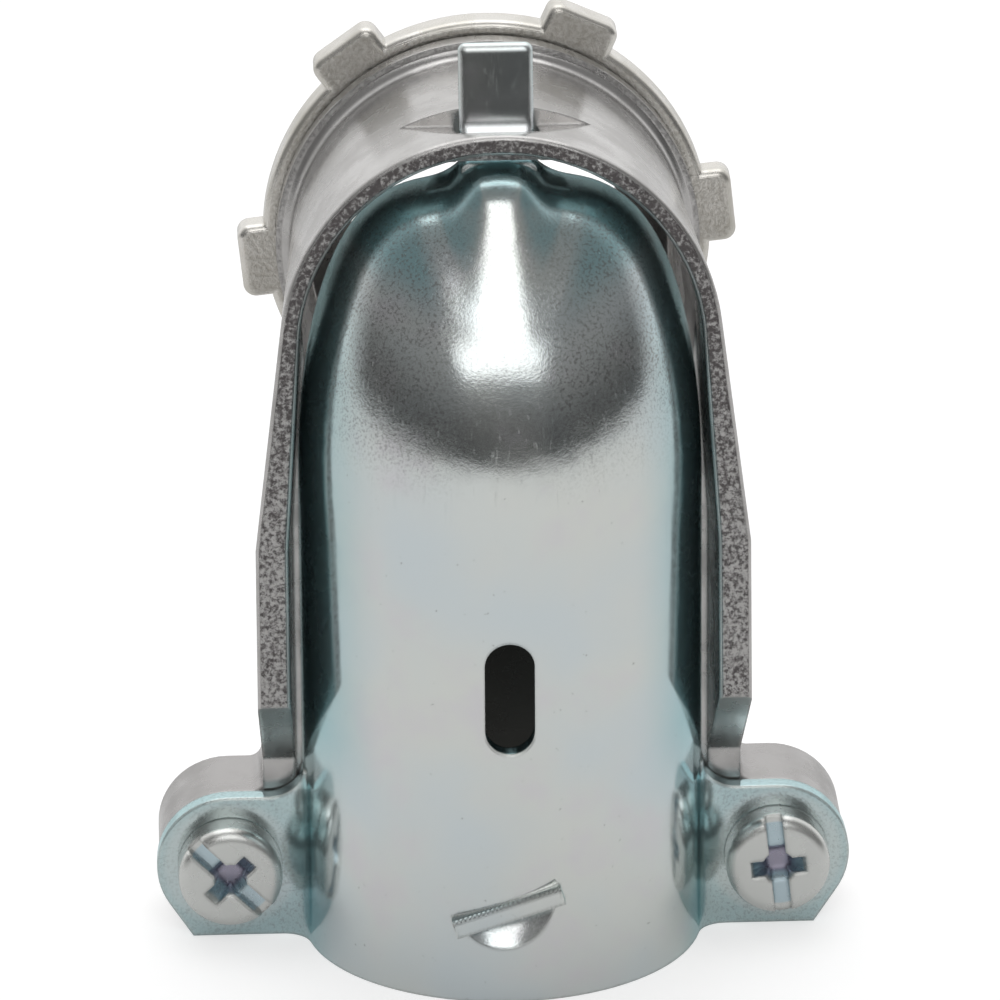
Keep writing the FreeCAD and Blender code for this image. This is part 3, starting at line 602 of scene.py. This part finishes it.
def thread_ridge():
    """A helical ridge on the neck behind the locknut, which grows out of it and dies away at its ends."""
    nut_low, nut_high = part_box("locknut")
    axis_z = (nut_low.z + nut_high.z) / 2
    start_y = nut_high.y + THREAD_NUT_GAP
    end_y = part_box("body_casting")[1].y - THREAD_END_GAP
    turns = (end_y - start_y) / THREAD_PITCH - THREAD_ROOT_SHARE
    count = int(turns * THREAD_STEPS)
    foot = THREAD_ROOT_SHARE * THREAD_PITCH / 2
    tip = THREAD_CREST_SHARE * THREAD_PITCH / 2
    root = THREAD_ROOT_R - THREAD_SINK
    vertices = []
    for step in range(count + 1):
        turn = step / THREAD_STEPS
        grown = max(THREAD_LEAST, min(1, turn / THREAD_FADE, (turns - turn) / THREAD_FADE))
        crest = THREAD_ROOT_R + (THREAD_CREST_R - THREAD_ROOT_R) * grown
        middle = start_y + (turn + THREAD_ROOT_SHARE / 2) * THREAD_PITCH
        around = Matrix.Rotation(turn * FULL_TURN, 3, "Y")
        for offset, radius in ((-foot, root), (-tip, crest), (tip, crest), (foot, root)):
            point = around @ Vector((0, 0, radius))
            vertices.append((point.x, middle + offset, axis_z + point.z))
    mesh = new_mesh("neck_thread", vertices, ridge_faces(count))
    return new_piece("neck_thread", mesh, "casting")


def paint(piece, material):
    """Gives an object one material in place of those that it has."""
    piece.data.materials.clear()
    piece.data.materials.append(material)


def dress():
    """Puts a metal on every piece, and threads on the screws and the neck."""
    casting = cast_zinc("cast_zinc", CASTING_SMOOTH, CASTING_WARM, CASTING_DARK)
    nut = cast_zinc("cast_nut", NUT_SMOOTH, NUT_WARM, NUT_DARK)
    sheet = plated_sheet("plated_sheet")
    screw = plated_screw("plated_screw")
    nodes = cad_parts
    paint(nodes["body_casting"], casting)
    paint(nodes["clamp_strap"], sheet)
    for node, body in SCREWS:
        paint(screw_head(node, body), screw)
        paint(screw_shank(node, body), screw)
    paint(nodes["locknut"], nut)
    paint(thread_ridge(), casting)


# Studio

def floor_material():
    """Pale, and white to the camera apart from the object's shadow."""
    material = bpy.data.materials.new("floor")
    material.use_nodes = True
    graph = Graph(material.node_tree)
    diffuse = graph.add("ShaderNodeBsdfDiffuse")
    diffuse.inputs["Color"].default_value = FLOOR_COLOUR
    glow = graph.add("ShaderNodeEmission")
    rays = graph.add("ShaderNodeLightPath")
    to_camera = graph.times(rays.outputs["Is Camera Ray"], FLOOR_GLOW_TO_CAMERA)
    to_metal = graph.times(rays.outputs["Is Glossy Ray"], FLOOR_GLOW_TO_METAL)
    graph.put(graph.plus(to_camera, to_metal), glow.inputs["Strength"])
    both = graph.add("ShaderNodeAddShader")
    graph.put(diffuse.outputs[0], both.inputs[0])
    graph.put(glow.outputs[0], both.inputs[1])
    output = graph.add("ShaderNodeOutputMaterial")
    graph.put(both.outputs[0], output.inputs[0])
    return material


def make_floor():
    """Round table top."""
    bpy.ops.mesh.primitive_circle_add(
        vertices=FLOOR_SIDES, radius=FLOOR_RADIUS, fill_type="NGON", location=(0, 0, -FLOOR_GAP))
    floor = bpy.context.object
    floor.name = "floor"
    paint(floor, floor_material())


def make_world():
    """White to the camera; to the metal, a white backdrop behind and a dark room in front."""
    world = bpy.data.worlds.new("studio")
    bpy.context.scene.world = world
    world.use_nodes = True
    graph = Graph(world.node_tree)
    direction = graph.axes(graph.add("ShaderNodeTexCoord").outputs["Generated"])
    front = graph.step(direction["Z"], *ROOM_RISE)
    room = graph.between(graph.step(direction["Y"], *BACKDROP_SIDE), front, WHITE)
    rays = graph.add("ShaderNodeLightPath")
    seen = graph.largest(rays.outputs["Is Camera Ray"], rays.outputs["Is Transmission Ray"])
    background = graph.add("ShaderNodeBackground")
    background.inputs["Color"].default_value = (WHITE, WHITE, WHITE, 1)
    graph.put(graph.between(seen, room, WHITE), background.inputs["Strength"])
    output = graph.add("ShaderNodeOutputWorld")
    graph.put(background.outputs[0], output.inputs[0])


def direction_to(azimuth, elevation):
    """Unit vector from the object to a place at azimuth (0 in front, along -Y) and elevation, in degrees."""
    around, up = math.radians(azimuth), math.radians(elevation)
    return Vector((math.sin(around) * math.cos(up), -math.cos(around) * math.cos(up), math.sin(up)))


def make_softbox(name, azimuth, elevation, distance, width, height, radiance):
    """An area lamp that looks at the object; radiance is how bright its face looks, 1 for white."""
    lamp = bpy.data.lights.new(name, "AREA")
    lamp.shape = "RECTANGLE"
    lamp.size, lamp.size_y = width, height
    lamp.energy = radiance * math.pi * width * height
    softbox = bpy.data.objects.new(name, lamp)
    bpy.context.scene.collection.objects.link(softbox)
    away = direction_to(azimuth, elevation)
    softbox.location = CAMERA_TARGET + away * distance
    softbox.rotation_euler = away.to_track_quat("Z", "Y").to_euler()


def make_camera():
    """Camera at the photograph's viewing angle."""
    data = bpy.data.cameras.new("camera")
    data.sensor_width = CAMERA_SENSOR
    data.lens = CAMERA_LENS
    data.clip_start, data.clip_end = CAMERA_NEAR, CAMERA_FAR
    camera = bpy.data.objects.new("camera", data)
    bpy.context.scene.collection.objects.link(camera)
    back = direction_to(CAMERA_AZIMUTH, CAMERA_ELEVATION)
    camera.location = CAMERA_TARGET + back * CAMERA_DISTANCE
    roll = Matrix.Rotation(math.radians(-CAMERA_ROLL), 3, back)
    upright = back.to_track_quat("Z", "Y").to_matrix()
    camera.rotation_euler = (roll @ upright).to_euler()
    bpy.context.scene.camera = camera


dress()
make_floor()
make_world()
for softbox_values in SOFTBOXES:
    make_softbox(*softbox_values)
make_camera()

bpy.context.scene.view_settings.view_transform = "Standard"
